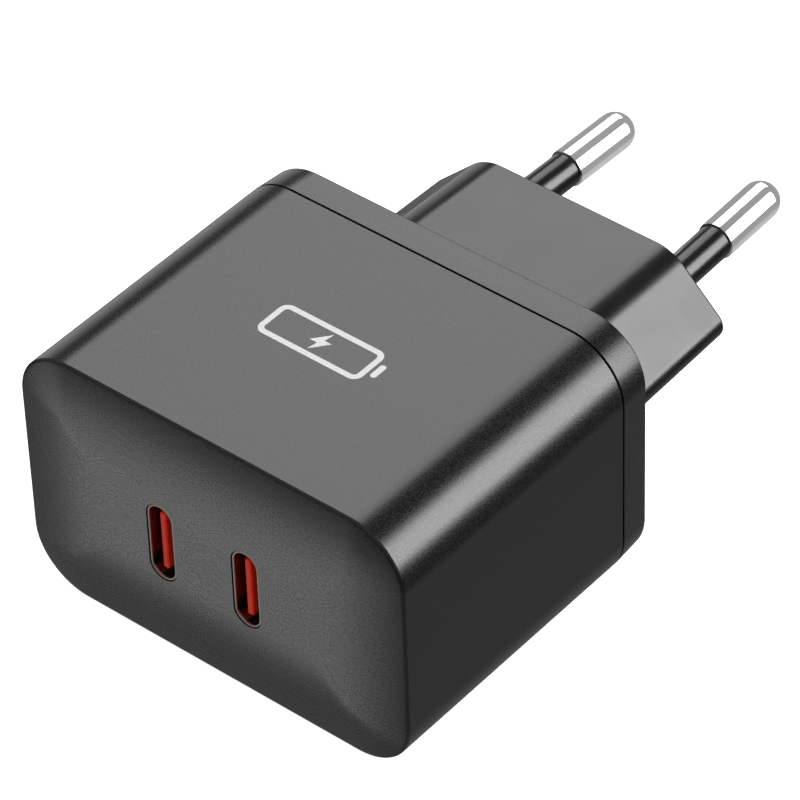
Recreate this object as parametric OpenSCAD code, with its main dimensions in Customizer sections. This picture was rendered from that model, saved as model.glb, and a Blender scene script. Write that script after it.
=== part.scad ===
// Compact wall charger: two USB-C ports in a crowned front face, a fixed flat two-pin plug behind.
// Frame: the origin is the centre of the plug face, midway between the pins.
// +X runs across the pins, +Y out along them, +Z up to the top of the case. Millimetres.

/* [Case] */
// Width of the case
case_w = 44.8; // [44:0.1:60]
// Height of the case
case_h = 28.5; // [28:0.1:36]
// Radius of the four long corner edges
corner_r = 6.1; // [4:0.1:8]
// Length of the front shell, from its front edge to the seam
shell_len = 31; // [31:0.1:45]
// Length of the rear cover, from the seam to its back face
cover_len = 3.7; // [3.5:0.1:6]
// How far the sides of the rear cover lean in towards its back face
cover_taper = 0.21; // [0.05:0.01:0.4]
// Wall thickness of the shell and of the rear cover
wall = 1.9; // [1.6:0.1:2.0]
// Width of the shadow groove at the seam
seam_gap = 0.2; // [0.1:0.05:0.4]
// Height of the crowned front face over its own edge
crown_h = 1.33; // [0.8:0.01:1.6]
// Distance from the edge over which the crown rises
crown_run = 10.7; // [9:0.1:12]

/* [USB-C ports] */
// Distance between the two ports
port_pitch = 10; // [9:0.1:12]
// Clearance between each receptacle and its oval hole in the front face
slot_gap = 0.04; // [0.02:0.01:0.1]
// Distance from the middle of the front face back to the rims of the receptacles
rim_recess = 0.1; // [0.05:0.05:0.6]
// Distance from the middle of the front face back to the tongue's tip
tongue_recess = 0.4; // [0.3:0.05:1.2]

/* [Plug] */
// Length of the plug block, from the rear cover to the plug face
block_len = 18.6; // [17:0.1:22]
// Width of the plug face, measured to the sharp meeting lines of its flanks
block_w = 36; // [34.6:0.1:36.2]
// Height of the plug face
block_h = 13; // [13:0.1:14.4]
// Width of the block's flat top, measured to its sharp meeting lines
block_flat_w = 22.4; // [21:0.1:24]
// Radius of the four edges beside the flats
block_edge_r = 4.45; // [3:0.05:5]
// Radius of the two side edges
block_side_r = 1.7; // [1:0.05:2.2]
// How much larger the block is at its root, each way
block_draft = 0.52; // [0.2:0.01:0.7]
// Length of a pin out of the plug face
pin_len = 19; // [18.5:0.1:19.5]
// Diameter of a pin's bare end
pin_d = 4; // [3.94:0.01:4.06]
// Distance between the pins at the plug face
pin_gap_face = 18.6; // [18:0.1:19.2]
// Distance between the pins at their tips
pin_gap_tip = 17.5; // [17:0.1:18]
// Outer diameter of a pin's sleeve
sleeve_d = 3.6; // [3.5:0.05:3.8]
// Length of the sleeve out of the plug face
sleeve_len = 9.5; // [9:0.1:10]

/* [Boards] */
// Thickness of the main board
main_board_t = 1.2; // [1:0.1:1.4]
// Thickness of the port board
port_board_t = 1; // [0.8:0.1:1]

/* [Hidden] */
$fn = 64;

slack = 0.02;                                // clearance between bonded or pressed pieces
eps = 0.05;                                  // overlap that lets cuts and joins run clean

// Stations along Y, from the plug face forwards
cover_back_y = -block_len;
seam_y = cover_back_y - cover_len;
edge_y = seam_y - shell_len;
front_y = edge_y - crown_h;
cavity_front_y = edge_y + 1.6;
cover_inner_y = cover_back_y - 2;

// Case section
inner_w = case_w - 2 * wall;
inner_h = case_h - 2 * wall;
inner_r = corner_r - wall;
crown_r = (crown_run * crown_run + crown_h * crown_h) / (2 * crown_h);
lip_t = 1;
lip_len = 2.5;

// Plug
pin_lean = atan((pin_gap_face - pin_gap_tip) / 2 / pin_len);
core_r = 1.4;
collar_r = 2.9;
collar_y = -3.5;
root_r = 2.2;
root_y = -11.5;
tail_r = 1.2;
tail_y = -15.5;
sleeve_y = -2;
sleeve_relief = 0.35;                        // shallow ring round each leaning sleeve in the plug face
flange_t = 1;
flange_y = cover_inner_y - flange_t;
hollow_front_y = -10;
clip_t = 0.5;
clip_y = -14.2;
lead_y = flange_y - 0.8;
root_grow = block_draft * cover_inner_y / cover_back_y;

// Ports: a receptacle's mouth is 8.34 by 2.56 and its shell 0.3 thick
mouth_l = 8.34;
mouth_w = 2.56;
port_shell_t = 0.3;
port_outer_w = mouth_w + 2 * port_shell_t;
port_outer_l = mouth_l + 2 * port_shell_t;
port_y = front_y + rim_recess;
tongue_y = front_y + tongue_recess;
tongue_t = 0.7;
tongue_l = 6.69;
port_depth = 6.2;
port_height = 9.1;
contact_pitch = 0.5;
contact_w = 0.25;
contact_t = 0.06;

// Boards
port_board_y = port_y + port_height;
port_board_back_y = port_board_y + port_board_t;
port_board_w = 36;
port_board_h = 22.8;
main_board_w = 38.4;
main_board_top = -9.3;
main_board_back_y = flange_y - 0.2;
tab_x = 11;
tab_w = 4;
post_x = 16;
post_z = 8.2;
stake_r = 0.75;

// Transformer
transformer_x = -1.1;
transformer_y = port_board_back_y + 7.4;
transformer_z = 1;
core_w = 15;
core_depth = 12;
core_half_h = 8.4;
core_plate_t = 2.2;
core_leg_t = 1.8;
centre_post_r = 3;
bobbin_depth = 13.6;
winding_r = 5.6;
spreader_z = 11.6;

// Choke
choke_x = -3.7;
choke_y = -26;
choke_z = -4.4;
choke_outer_r = 4.2;
choke_inner_r = 2;
choke_t = 3.6;
choke_lead_x = 2.4;

// Where the other leaded parts stand on the main board
bulk_x = -13.7;
bulk_y = [-38.9, -28.2];
output_x = 11.2;
output_y = [-40.2, -33.4];
x_cap_at = [7.9, -26];
y_cap_at = [16.6, -34.4];
fuse_at = [16.3, -26.6];

// Leads: two in a row along X or along Y about a middle, and all of them for the board's holes
lead_d = 0.6;
lead_end_z = main_board_top - main_board_t - 0.5;
function in_x(middle, gap) = [middle - [gap / 2, 0], middle + [gap / 2, 0]];
function in_y(middle, gap) = [middle - [0, gap / 2], middle + [0, gap / 2]];
bobbin_leads = [for (x = [-4, 0, 4], y = [-5.6, 5.6]) [transformer_x + x, transformer_y + y]];
choke_leads = [for (x = [-1, 1], y = [-1, 1])
    [choke_x + x * choke_lead_x, choke_y + y * (choke_t + lead_d) / 2]];
board_holes = concat(bobbin_leads, choke_leads, in_x(x_cap_at, 9), in_y(y_cap_at, 4.4), in_y(fuse_at, 4.8),
    [for (y = bulk_y) each in_x([bulk_x, y], 4.4)], [for (y = output_y) each in_x([output_x, y], 2.8)]);

case_black = [0.13, 0.13, 0.14];
ferrite_grey = [0.22, 0.22, 0.24];
board_green = [0.05, 0.3, 0.16];
chip_black = [0.08, 0.08, 0.09];
tin_silver = [0.8, 0.8, 0.82];

// ---- shared shapes ----

// A rectangle with true round corners
module rounded_rect(w, h, r) {
    square([w - 2 * r, h], center = true);
    square([w, h - 2 * r], center = true);
    for (x = [-1, 1], y = [-1, 1]) translate([x * (w / 2 - r), y * (h / 2 - r)]) circle(r);
}

// A section drawn in X and Z, extruded along Y between two stations
module along_y(from_y, to_y) {
    translate([0, to_y, 0]) rotate([90, 0, 0]) linear_extrude(to_y - from_y) children();
}

module slab(w, h, r, from_y, to_y) {
    along_y(from_y, to_y) rounded_rect(w, h, r);
}

// A slab whose sides all lean in by lean on the way from from_y to to_y
module leaning_slab(w, h, r, from_y, to_y, lean) {
    side = [w / 2, h / 2];
    centre = side - [r, r];
    translate([0, 0, -centre[1]]) linear_extrude(2 * centre[1])
        polygon([[-side[0], from_y], [side[0], from_y], [side[0] - lean, to_y], [lean - side[0], to_y]]);
    translate([-centre[0], 0, 0]) rotate([90, 0, 90]) linear_extrude(2 * centre[0])
        polygon([[from_y, -side[1]], [from_y, side[1]], [to_y, side[1] - lean], [to_y, lean - side[1]]]);
    for (x = [0, 1], z = [0, 1]) mirror([x, 0, 0]) mirror([0, 0, z]) translate([centre[0], to_y, centre[1]])
        rotate([90, 0, 0]) rotate_extrude(angle = 90)
            polygon([[0, 0], [r - lean, 0], [r, to_y - from_y], [0, to_y - from_y]]);
}

// A rod along Y
module rod(r, from_y, to_y) {
    translate([0, from_y, 0]) rotate([-90, 0, 0]) cylinder(r = r, h = to_y - from_y);
}

// A block given by its lowest and highest corners
module block(low, high) {
    translate(low) cube(high - low);
}

// Round leads from under the main board up to a height
module leads(spots, top_z) {
    for (spot = spots) translate([spot[0], spot[1], lead_end_z]) cylinder(d = lead_d, h = top_z - lead_end_z);
}

// The frame of one pin: its own Y axis runs along the pin, from the plug face outwards
module on_pin(side) {
    translate([side * pin_gap_face / 2, 0, 0]) rotate([0, 0, side * pin_lean]) children();
}

// The frame of one port, at the middle of its mouth's width and length
module on_port(side) {
    translate([side * port_pitch / 2, 0, 0]) children();
}

// ---- case ----

// Section of the crown across one span: flat in the middle, an arc down to each edge
module crown_arch(span, length) {
    linear_extrude(length, center = true) {
        translate([-(span / 2 - crown_run), -crown_h]) square([span - 2 * crown_run, crown_h]);
        for (side = [0, 1]) mirror([side, 0]) intersection() {
            translate([span / 2 - crown_run, crown_r - crown_h]) circle(crown_r, $fn = 360);
            translate([span / 2 - crown_run, -crown_h]) square([crown_run, crown_h]);
        }
    }
}

// The crown round one corner of the face, turned about the corner's own centre
module crown_corner() {
    rotate([90, 0, 0]) rotate_extrude(angle = 90) intersection() {
        translate([corner_r - crown_run, crown_h - crown_r]) circle(crown_r, $fn = 360);
        square([corner_r, crown_h]);
    }
}

module crown() {
    intersection() {
        crown_arch(case_w, case_h);
        rotate([0, 90, 0]) crown_arch(case_h, case_w);
        along_y(-crown_h, 0) {
            square([case_w - 2 * corner_r, case_h], center = true);
            square([case_w, case_h - 2 * corner_r], center = true);
        }
    }
    for (x = [0, 1], z = [0, 1]) mirror([x, 0, 0]) mirror([0, 0, z])
        translate([case_w / 2 - corner_r, 0, case_h / 2 - corner_r]) crown_corner();
}

// Rails on both side walls that the main board slides between
module board_rails() {
    rail = 0.85;
    reach = 1.9;
    for (side = [-1, 1], z = [main_board_top + eps, main_board_top - main_board_t - eps - rail])
        translate([side * (inner_w / 2 - reach / 2 + eps), 0, z])
            block([-reach / 2, cavity_front_y - eps, 0], [reach / 2, seam_y - lip_len - 1, rail]);
}

// Posts on the front wall: the port board sits on them and their stakes pass through it
module board_posts() {
    for (x = [-1, 1], z = [-1, 1]) translate([x * post_x, 0, z * post_z]) {
        rod(1.6, cavity_front_y - eps, port_board_y);
        rod(stake_r, port_board_y - eps, port_board_back_y + 0.8);
    }
}

module main_shell() {
    color(case_black) {
        difference() {
            union() {
                slab(case_w, case_h, corner_r, edge_y, seam_y);
                translate([0, edge_y, 0]) crown();
            }
            slab(inner_w, inner_h, inner_r, cavity_front_y, seam_y + eps);
            for (side = [-1, 1]) on_port(side)
                slab(port_outer_w + 2 * slot_gap, port_outer_l + 2 * slot_gap,
                    port_outer_w / 2 + slot_gap - slack, front_y - eps, cavity_front_y + eps);
        }
        board_rails();
        board_posts();
    }
}

// The plug block's section: flat top and bottom, two sloping flanks each side, all edges rounded.
// grow enlarges it all round.
module block_section(grow) {
    side_x = block_w / 2 + grow;
    top_z = block_h / 2 + grow;
    run = side_x - block_flat_w / 2 - grow / 2;
    flank = norm([run, top_z]);
    out = [top_z, run] / flank;
    side_mid = [side_x - block_side_r * flank / top_z, 0];
    edge_mid = [side_x - (flank * block_edge_r + run * (top_z - block_edge_r)) / top_z, top_z - block_edge_r];
    corner = [side_mid + block_side_r * out, edge_mid + block_edge_r * out, [edge_mid[0], top_z]];
    polygon(concat(corner, [for (i = [2:-1:0]) [-corner[i][0], corner[i][1]]],
        -corner, [for (i = [2:-1:0]) [corner[i][0], -corner[i][1]]]));
    for (x = [-1, 1]) {
        translate([x * side_mid[0], 0]) circle(block_side_r);
        for (z = [-1, 1]) translate([x * edge_mid[0], z * edge_mid[1]]) circle(block_edge_r);
    }
}

module rear_cover() {
    color(case_black) difference() {
        union() {
            leaning_slab(case_w, case_h, corner_r, seam_y + seam_gap, cover_back_y, cover_taper);
            slab(case_w - 0.8, case_h - 0.8, corner_r - 0.4, seam_y, seam_y + seam_gap + eps);
            slab(inner_w - 0.1, inner_h - 0.1, inner_r - 0.05, seam_y - lip_len, seam_y + eps);
        }
        slab(inner_w - 0.1 - 2 * lip_t, inner_h - 0.1 - 2 * lip_t, inner_r - lip_t - 0.05,
            seam_y - lip_len - eps, cover_inner_y);
        along_y(cover_inner_y - eps, cover_back_y + eps) block_section(root_grow + eps);
    }
}

// Ribs inside the plug block that back the pins are left solid; the rest is hollow
module plug_block() {
    color(case_black) difference() {
        union() {
            hull() {
                along_y(-slack, 0) block_section(0);
                along_y(cover_inner_y - eps, cover_inner_y) block_section(root_grow);
            }
            slab(37.6, 15.6, 4, flange_y, cover_inner_y - slack);
        }
        slab(28, 8.8, 2, flange_y - eps, hollow_front_y);
        slab(10, 8.8, 2, flange_y - eps, -2.5);
        for (side = [-1, 1]) on_pin(side) {
            rod(sleeve_d / 2 + sleeve_relief, -0.3, 1);
            rod(sleeve_d / 2 + slack, -0.9, 1);
            rod(2.4 + slack, sleeve_y - slack, -0.8 + slack);
            rod(collar_r + slack, collar_y - slack, sleeve_y + slack);
            rod(root_r + slack, root_y - 1, collar_y + slack);
        }
    }
}

// ---- plug pins ----

// One pin is turned in a single piece: tail, grooved root, collar, slim core under the sleeve, bare end
module pin(side) {
    color(tin_silver) on_pin(side) rotate([-90, 0, 0]) rotate_extrude() difference() {
        union() {
            translate([0, tail_y]) square([tail_r, root_y - tail_y + eps]);
            translate([0, root_y]) square([root_r, collar_y - root_y + eps]);
            translate([0, collar_y]) square([collar_r, sleeve_y - slack - collar_y]);
            translate([0, sleeve_y - eps]) square([core_r, sleeve_len - sleeve_y + 2 * eps]);
            translate([0, sleeve_len]) square([pin_d / 2, pin_len - pin_d / 2 - sleeve_len]);
            intersection() {
                translate([0, pin_len - pin_d / 2]) circle(pin_d / 2);
                translate([0, sleeve_len + 1]) square([pin_d, pin_len - sleeve_len]);
            }
        }
        for (groove = [0:3]) translate([root_r - 0.3, root_y + 1 + 1.8 * groove]) square([1, 0.8]);
    }
}

module pin_sleeve(side) {
    color(case_black) on_pin(side) difference() {
        union() {
            rod(sleeve_d / 2, sleeve_y, sleeve_len - slack);
            rod(2.4, sleeve_y, -0.8);
        }
        rod(core_r + slack, sleeve_y - eps, sleeve_len + eps);
    }
}

// A stamped strip: an eyelet soldered on the pin's tail, an arm back along the block, a leg into the board
module pin_contact(side) {
    eyelet = 2.4;
    arm_x = 12;
    color([0.85, 0.6, 0.25]) mirror([side < 0 ? 1 : 0, 0, 0]) difference() {
        union() {
            block([arm_x - 2 * eyelet, clip_y, -eyelet], [arm_x, clip_y + clip_t, eyelet]);
            block([arm_x - clip_t, lead_y, -1.5], [arm_x, clip_y + clip_t, 1.5]);
            block([arm_x - 2, lead_y, main_board_top - main_board_t - 0.6], [arm_x, lead_y + 0.4, 1.5]);
        }
        on_pin(1) rod(tail_r + 2 * slack, clip_y - 1, clip_y + clip_t + 1);
    }
}

// ---- USB-C receptacles ----

// Drawn steel shell with four legs soldered through the port board
module port_shell(side) {
    color(tin_silver) on_port(side) {
        difference() {
            slab(port_outer_w, port_outer_l, port_outer_w / 2 - slack, port_y, port_board_y);
            slab(mouth_w, mouth_l, mouth_w / 2 - slack, port_y - eps, port_board_y + eps);
        }
        for (x = [-1, 1], z = [-1, 1])
            translate([x * (port_outer_w - port_shell_t) / 2, port_board_y, z * 2.4])
                block([-port_shell_t / 2, -eps, -0.5], [port_shell_t / 2, 1.6, 0.5]);
    }
}

// Moulded insulator: a base that fills the back of the shell and the tongue that stands out of it
module port_tongue(side) {
    base_y = port_y + port_depth;
    color([0.9, 0.25, 0.05]) on_port(side) {
        slab(mouth_w - 2 * slack, mouth_l - 2 * slack, mouth_w / 2 - 2 * slack, base_y, port_board_y);
        slab(1.3, tongue_l + 0.6, 0.3, base_y - 0.9, base_y + eps);
        slab(tongue_t, tongue_l, 0.2, tongue_y, base_y - 0.9 + eps);
    }
}

// Twelve contacts in each of two rows, one row on each face of the tongue
module port_contacts(side) {
    back_y = port_y + port_depth - 0.95;
    color([0.9, 0.7, 0.3]) on_port(side)
        for (face = [0, 1], i = [0:11]) mirror([face, 0, 0])
            translate([tongue_t / 2, 0, (i - 5.5) * contact_pitch])
                block([0, back_y - 3.6, -contact_w / 2], [contact_t, back_y, contact_w / 2]);
}

// ---- boards ----

module main_board() {
    bottom = main_board_top - main_board_t;
    shoulder_y = seam_y - lip_len - 0.5;
    tail_w = 35.4;
    color(board_green) difference() {
        union() {
            block([-main_board_w / 2, port_board_back_y + slack, bottom],
                [main_board_w / 2, shoulder_y, main_board_top]);
            block([-tail_w / 2, shoulder_y - eps, bottom], [tail_w / 2, main_board_back_y, main_board_top]);
            for (side = [-1, 1]) translate([side * tab_x, 0, 0])
                block([-tab_w / 2, port_board_y - 0.6, bottom],
                    [tab_w / 2, port_board_back_y + 1, main_board_top]);
        }
        for (side = [-1, 1]) translate([side * 11, 0, 0])
            block([-1.1, lead_y - 0.1, bottom - 1], [1.1, lead_y + 0.5, main_board_top + 1]);
        for (hole = board_holes) translate([hole[0], hole[1], bottom - 1]) cylinder(d = lead_d + 0.2, h = 4);
    }
}

module port_board() {
    color(board_green) difference() {
        slab(port_board_w, port_board_h, 1.5, port_board_y, port_board_back_y);
        for (x = [-1, 1]) {
            for (z = [-1, 1]) translate([x * post_x, 0, z * post_z])
                rod(stake_r + 0.1, port_board_y - 1, port_board_back_y + 1);
            translate([x * tab_x, 0, main_board_top - main_board_t / 2])
                slab(tab_w + 0.2, main_board_t + 0.2, 0.1, port_board_y - 1, port_board_back_y + 1);
            for (leg_x = [-1, 1], leg_z = [-1, 1])
                translate([x * port_pitch / 2 + leg_x * (mouth_w + port_shell_t) / 2, 0, leg_z * 2.4])
                    slab(0.6, 1.4, 0.25, port_board_y - 1, port_board_back_y + 1);
        }
    }
}

module insulation_sheet() {
    color([0.85, 0.8, 0.6])
        block([-16.8, port_board_back_y + 0.4, -12.25], [16.8, seam_y - lip_len - 0.4, -12]);
}

module heat_spreader() {
    color([0.75, 0.76, 0.78]) translate([0, 0, spreader_z])
        block([-16, port_board_back_y + 0.4, 0], [16, seam_y - lip_len - 0.4, 0.5]);
}

module thermal_pad() {
    pad_z = transformer_z + core_half_h;
    color([0.6, 0.65, 0.75]) translate([transformer_x, transformer_y, pad_z])
        block([-6.5, -5.5, 0], [6.5, 5.5, spreader_z - pad_z]);
}

// ---- transformer ----

// Half of a ferrite pot: a plate, two outer legs and half of the round centre post
module core_half() {
    half_depth = core_depth / 2;
    color(ferrite_grey) {
        block([-core_w / 2, -half_depth, core_half_h - core_plate_t], [core_w / 2, half_depth, core_half_h]);
        for (side = [-1, 1]) translate([side * (core_w - core_leg_t) / 2, 0, 0])
            block([-core_leg_t / 2, -half_depth, slack], [core_leg_t / 2, half_depth, core_half_h - eps]);
        translate([0, 0, slack]) cylinder(r = centre_post_r, h = core_half_h - eps);
    }
}

module transformer_core_upper() {
    translate([transformer_x, transformer_y, transformer_z]) core_half();
}

module transformer_core_lower() {
    translate([transformer_x, transformer_y, transformer_z]) mirror([0, 0, 1]) core_half();
}

// Coil former: a spool on the centre post, webs down both open sides and a base with six board pins
module transformer_bobbin() {
    window = core_half_h - core_plate_t;
    foot = transformer_z - core_half_h;
    color([0.1, 0.1, 0.1]) translate([transformer_x, transformer_y, 0]) {
        translate([0, 0, transformer_z]) difference() {
            union() {
                for (z = [-window + 0.1, window - 0.8]) translate([0, 0, z])
                    block([-5.6, -bobbin_depth / 2, 0], [5.6, bobbin_depth / 2, 0.7]);
                cylinder(r = centre_post_r + 0.7, h = 2 * window - 0.4, center = true);
            }
            cylinder(r = centre_post_r + 0.1, h = 3 * window, center = true);
        }
        for (side = [-1, 1]) translate([0, side * (bobbin_depth / 2 - 0.35), 0])
            block([-5.6, -0.35, foot - 0.3], [5.6, 0.35, transformer_z - window + 0.2]);
        block([-5.6, -bobbin_depth / 2, main_board_top + 0.4], [5.6, bobbin_depth / 2, foot - 0.1]);
    }
    color([0.1, 0.1, 0.1]) leads(bobbin_leads, main_board_top + 0.5);
}

// The coils under their yellow tape
module transformer_winding() {
    height = 2 * (core_half_h - core_plate_t) - 1.8;
    color([0.9, 0.75, 0.2]) translate([transformer_x, transformer_y, transformer_z]) difference() {
        cylinder(r = winding_r, h = height, center = true);
        cylinder(r = centre_post_r + 0.7 + slack, h = height + 1, center = true);
    }
}

// ---- choke ----

module choke_core() {
    color([0.1, 0.35, 0.2]) translate([choke_x, choke_y, choke_z]) difference() {
        rod(choke_outer_r, -choke_t / 2, choke_t / 2);
        rod(choke_inner_r, -choke_t, choke_t);
    }
}

// Two coils of five turns, one on each side of the ring, with their four leads down to the board
module choke_winding() {
    band = choke_outer_r - choke_inner_r;
    turn_angle = 28;
    color([0.75, 0.4, 0.15]) {
        translate([choke_x, choke_y, choke_z])
            for (side = [0, 180], turn = [-2:2]) rotate([0, side + turn * turn_angle, 0])
                translate([choke_inner_r + band / 2, 0, -lead_d / 2]) linear_extrude(lead_d) difference() {
                    rounded_rect(band + 2.2 * lead_d, choke_t + 2.2 * lead_d, 0.7);
                    rounded_rect(band + 0.2 * lead_d, choke_t + 0.2 * lead_d, 0.1);
                }
        leads(choke_leads, choke_z - 2.9);
    }
}

// ---- components on the main board ----

// A round can capacitor on two leads: crimp groove near its foot, shallow dish in its top
module can_capacitor(at, gap, r, h, shade) {
    foot_z = main_board_top + 0.3;
    color(shade) {
        translate([at[0], at[1], foot_z]) difference() {
            cylinder(r = r, h = h);
            translate([0, 0, 1.6]) difference() {
                cylinder(r = r + 1, h = 0.6);
                translate([0, 0, -1]) cylinder(r = r - 0.25, h = 3);
            }
            translate([0, 0, h - 0.2]) cylinder(r = r - 0.7, h = 1);
        }
        leads(in_x(at, gap), foot_z + eps);
    }
}

// A moulded box standing on its leads
module boxed_part(at, size, spots, shade) {
    foot_z = main_board_top + 0.2;
    color(shade) {
        translate([at[0], at[1], foot_z]) linear_extrude(size[2]) rounded_rect(size[0], size[1], 0.4);
        leads(spots, foot_z + eps);
    }
}

module bulk_capacitor(y) {
    can_capacitor([bulk_x, y], 4.4, 4.85, 18, [0.15, 0.15, 0.3]);
}

module output_capacitor(y) {
    can_capacitor([output_x, y], 2.8, 3.15, 9, tin_silver);
}

module x_capacitor() {
    boxed_part(x_cap_at, [11, 5.2, 10.9], in_x(x_cap_at, 9), [0.75, 0.7, 0.3]);
}

module fuse() {
    boxed_part(fuse_at, [3.7, 6.8, 7.8], in_y(fuse_at, 4.8), [0.35, 0.2, 0.12]);
}

// A lacquered ceramic disc, standing on edge on two leads
module y_capacitor() {
    disc_r = 3.6;
    centre_z = main_board_top + 0.8 + disc_r;
    color([0.1, 0.35, 0.7]) {
        translate([y_cap_at[0], y_cap_at[1], centre_z]) rotate([0, 90, 0]) {
            cylinder(r = disc_r, h = 1.6, center = true);
            cylinder(r = 2.6, h = 2.6, center = true);
        }
        leads(in_y(y_cap_at, 4.4), centre_z - disc_r / 2);
    }
}

// A small package with gull-wing legs on two sides, on the top of the main board
module optocoupler() {
    color(chip_black) translate([16.2, -41.4, main_board_top]) {
        block([-1.3, -2.2, 0.15], [1.3, 2.2, 2.1]);
        for (x = [-1, 1], y = [-1.3, 1.3]) translate([x * 1.55, y, 0])
            block([-0.45, -0.25, 0], [0.45, 0.25, 0.3]);
    }
}

// Flat packages under the main board: body, then a thin row of feet along each long side
module flat_chip(x, y, w, d, t) {
    bottom = main_board_top - main_board_t;
    feet = floor(d / 1.3);
    color(chip_black) translate([x, y, bottom]) {
        block([-w / 2, -d / 2, -t], [w / 2, d / 2, -slack]);
        for (side = [-1, 1], i = [0:feet - 1]) translate([side * w / 2, (i - (feet - 1) / 2) * 1.2, 0])
            block([-0.4, -0.2, -0.3], [0.4, 0.2, -slack]);
    }
}

module bridge_rectifier() {
    flat_chip(bulk_x, (bulk_y[0] + bulk_y[1]) / 2, 8, 6.6, 1.3);
}

module power_switch() {
    flat_chip(transformer_x, transformer_y, 8, 7, 0.9);
}

module sync_rectifier() {
    flat_chip(output_x, (output_y[0] + output_y[1]) / 2, 5, 5, 1);
}

// ---- components on the port board ----

// Two square controllers, one beside each receptacle
module port_controllers() {
    color(chip_black) for (side = [-1, 1]) translate([side * 10.6, 0, 4])
        slab(4.4, 4.4, 0.2, port_board_y - 0.8, port_board_y - slack);
}

module port_inductor() {
    color(ferrite_grey) difference() {
        translate([12.6, 0, -2.4]) slab(6.4, 6.4, 1, port_board_y - 3, port_board_y - slack);
        translate([12.6, 0, -2.4]) rod(2.2, port_board_y - 4, port_board_y - 2.8);
    }
}

// A row of chip capacitors between the two receptacles
module port_ceramic_capacitors() {
    color([0.7, 0.6, 0.45]) for (i = [-2:2]) translate([0, 0, 2.2 * i])
        slab(3.2, 1.6, 0.1, port_board_y - 1.2, port_board_y - slack);
}

main_shell();
rear_cover();
plug_block();
pin(-1);  // pin_left
pin(1);  // pin_right
pin_sleeve(-1);  // pin_sleeve_left
pin_sleeve(1);  // pin_sleeve_right
pin_contact(-1);  // pin_contact_left
pin_contact(1);  // pin_contact_right
port_shell(-1);  // port_shell_left
port_shell(1);  // port_shell_right
port_tongue(-1);  // port_tongue_left
port_tongue(1);  // port_tongue_right
port_contacts(-1);  // port_contacts_left
port_contacts(1);  // port_contacts_right
main_board();
port_board();
insulation_sheet();
heat_spreader();
thermal_pad();
transformer_core_lower();
transformer_core_upper();
transformer_bobbin();
transformer_winding();
choke_core();
choke_winding();
bulk_capacitor(bulk_y[0]);  // bulk_capacitor_front
bulk_capacitor(bulk_y[1]);  // bulk_capacitor_rear
output_capacitor(output_y[0]);  // output_capacitor_front
output_capacitor(output_y[1]);  // output_capacitor_rear
x_capacitor();
y_capacitor();
fuse();
optocoupler();
bridge_rectifier();
power_switch();
sync_rectifier();
port_controllers();
port_inductor();
port_ceramic_capacitors();
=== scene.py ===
"""Compact two-port wall charger with a fixed two-pin plug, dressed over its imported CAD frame.

The sections follow the charger as it is put together: the ports and boards, the parts on them,
the plug with its pins, then the shell and the cover that close it. Lengths are in metres.
"""
import math

import bmesh
import bpy
from mathutils import Matrix, Quaternion, Vector


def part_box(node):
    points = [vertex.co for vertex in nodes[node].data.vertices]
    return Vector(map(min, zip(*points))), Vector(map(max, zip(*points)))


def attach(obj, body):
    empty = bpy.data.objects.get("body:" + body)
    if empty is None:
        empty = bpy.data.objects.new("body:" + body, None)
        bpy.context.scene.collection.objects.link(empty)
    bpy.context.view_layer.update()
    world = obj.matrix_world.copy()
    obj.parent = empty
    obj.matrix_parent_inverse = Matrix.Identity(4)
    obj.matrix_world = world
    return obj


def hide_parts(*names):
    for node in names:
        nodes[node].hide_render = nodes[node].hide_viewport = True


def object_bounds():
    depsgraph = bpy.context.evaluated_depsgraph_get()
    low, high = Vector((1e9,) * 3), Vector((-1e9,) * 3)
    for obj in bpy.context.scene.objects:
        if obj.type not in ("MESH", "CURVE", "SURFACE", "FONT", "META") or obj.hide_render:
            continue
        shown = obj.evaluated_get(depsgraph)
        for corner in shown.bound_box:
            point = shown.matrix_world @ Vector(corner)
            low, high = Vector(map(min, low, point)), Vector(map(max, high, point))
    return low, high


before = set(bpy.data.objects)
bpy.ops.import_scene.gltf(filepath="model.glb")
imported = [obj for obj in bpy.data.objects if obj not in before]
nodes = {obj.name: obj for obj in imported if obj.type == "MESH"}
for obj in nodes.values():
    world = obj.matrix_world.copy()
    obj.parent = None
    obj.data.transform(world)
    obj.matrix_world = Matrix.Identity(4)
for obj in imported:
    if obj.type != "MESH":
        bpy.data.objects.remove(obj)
cad_low, cad_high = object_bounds()
bpy.ops.object.select_all(action="DESELECT")
mm = 0.001

# ---- USB-C receptacle shells ----
# Each port is a seamless oval tube of drawn stainless steel, 0.3 mm thick, with a softly rolled rim.
# It stands upright in its hole in the front wall, the rim a hair behind the face, and its legs are
# soldered to the port board.


def start_block(name, low, high):
    """A block between two opposite corners, to be shaped in edit mode."""
    low, high = Vector(low), Vector(high)
    bpy.ops.mesh.primitive_cube_add(size=1, location=(low + high) / 2, scale=high - low)
    bpy.ops.object.transform_apply(location=True, rotation=True, scale=True)
    piece = bpy.context.object
    piece.name = name
    bpy.ops.object.mode_set(mode="EDIT")
    return piece


def choose(kind, test):
    """Selects the faces, edges or corners of the piece being shaped that pass a test."""
    bpy.ops.mesh.select_mode(type=kind)
    bpy.ops.mesh.select_all(action="DESELECT")
    mesh = bpy.context.edit_object.data
    shape = bmesh.from_edit_mesh(mesh)
    for part in {"FACE": shape.faces, "EDGE": shape.edges, "VERT": shape.verts}[kind]:
        if test(part):
            part.select_set(True)
    bmesh.update_edit_mesh(mesh)


def runs_along(axis):
    """A test for edges that run along an axis."""
    def test(edge):
        return abs((edge.verts[1].co - edge.verts[0].co).normalized()[axis]) > 0.99
    return test


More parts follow.
